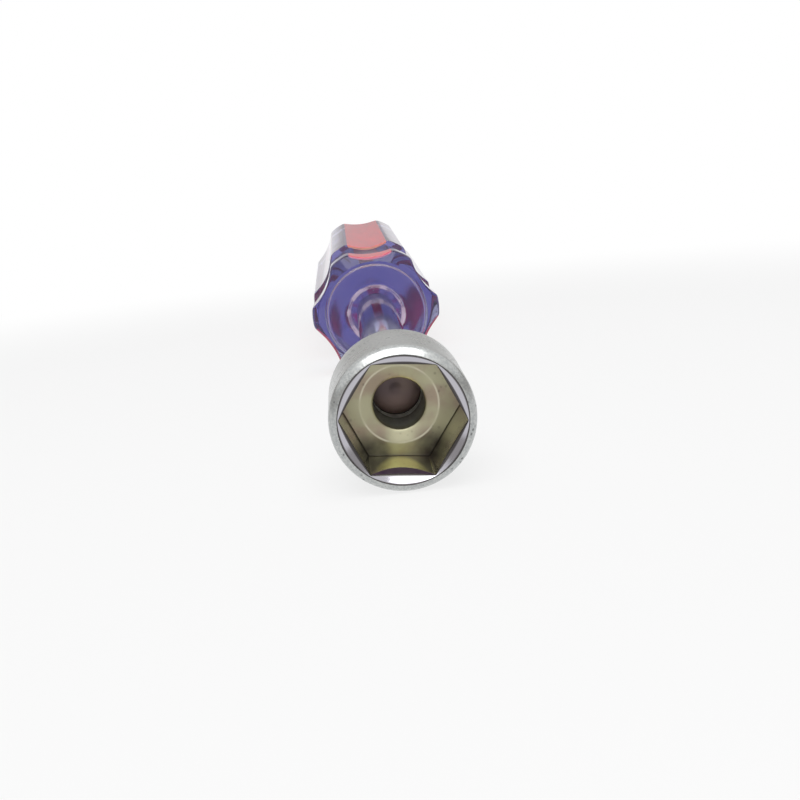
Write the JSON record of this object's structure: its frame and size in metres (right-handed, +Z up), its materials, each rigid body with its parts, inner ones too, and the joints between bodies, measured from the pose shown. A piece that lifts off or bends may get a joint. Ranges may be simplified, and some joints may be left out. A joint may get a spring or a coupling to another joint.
{
  "type": "hex nut driver",
  "caption": "Hand nut driver: a chromed hex socket on a plain round shaft, pressed into a clear ribbed handle with red stripes, a ringed neck and a guard.",
  "frame": {"origin": "centre of the flat butt end of the handle, on the tool's axis", "axes": "+Y runs along the tool's axis from the socket to the butt, so the socket's mouth faces -Y; +Z points up through the flute with the upper red stripe; the flats of the hex lie 6 degrees clockwise of +Z and -Z, seen from the mouth"},
  "size_m": [0.026, 0.205, 0.0243],
  "materials": {
    "clear_acetate": "clear, faint blue-violet tint, polished, fine handling wear",
    "red_acetate": "translucent red, fused into the clear bar, polished",
    "shaft_chrome": "bright chrome plate with fine polishing marks",
    "socket_chrome": "satin chrome outside with small pits, thin yellowish plating inside"
  },
  "bodies": {
    "root": {"handle_core": "clear_acetate", "grip_stripe_top": "red_acetate", "grip_stripe_left": "red_acetate", "grip_stripe_right": "red_acetate", "guard_stripe_top": "red_acetate", "guard_stripe_left": "red_acetate", "guard_stripe_right": "red_acetate", "shaft": "shaft_chrome", "socket": "socket_chrome"}
  },
  "joints": []
}
